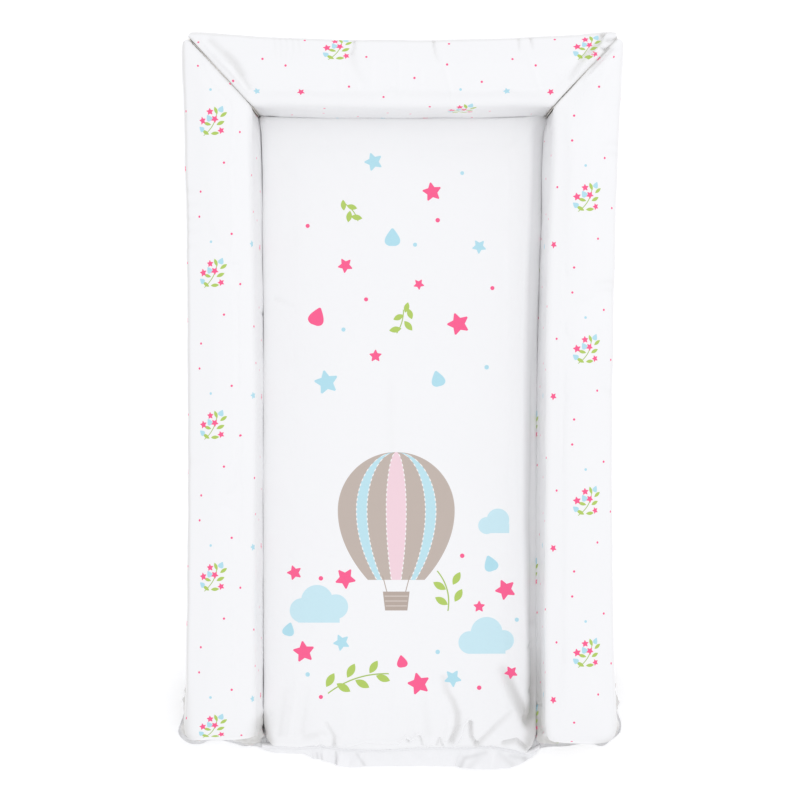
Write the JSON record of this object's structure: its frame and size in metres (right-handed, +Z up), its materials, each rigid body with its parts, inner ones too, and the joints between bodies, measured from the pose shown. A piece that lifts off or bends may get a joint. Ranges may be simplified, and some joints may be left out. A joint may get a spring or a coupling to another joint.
{
  "type": "changing mat",
  "caption": "Padded vinyl changing mat with raised foam sides and head end, a lower lying surface and an open foot end.",
  "frame": {"origin": "on the floor, under the middle of the mat's footprint", "axes": "+Y along the length towards the raised head end, +X to the right as seen from the foot end, +Z up"},
  "size_m": [0.469, 0.7793, 0.085],
  "materials": {
    "border_vinyl": "white printed vinyl, satin",
    "centre_vinyl": "white printed vinyl, glossy",
    "base_vinyl": "plain white vinyl, satin",
    "welded_vinyl": "white vinyl, heat-welded",
    "foam": "open-cell foam, off-white"
  },
  "bodies": {
    "root": {"base_sheet": "base_vinyl", "centre_foam": "foam", "left_side_foam": "foam", "right_side_foam": "foam", "head_foam": "foam", "centre_panel": "centre_vinyl", "left_side_cover": "border_vinyl", "right_side_cover": "border_vinyl", "head_cover": "border_vinyl", "inner_weld": "welded_vinyl", "perimeter_weld": "welded_vinyl", "left_mitre_seam": "welded_vinyl", "right_mitre_seam": "welded_vinyl", "foot_hem": "welded_vinyl"}
  },
  "joints": []
}
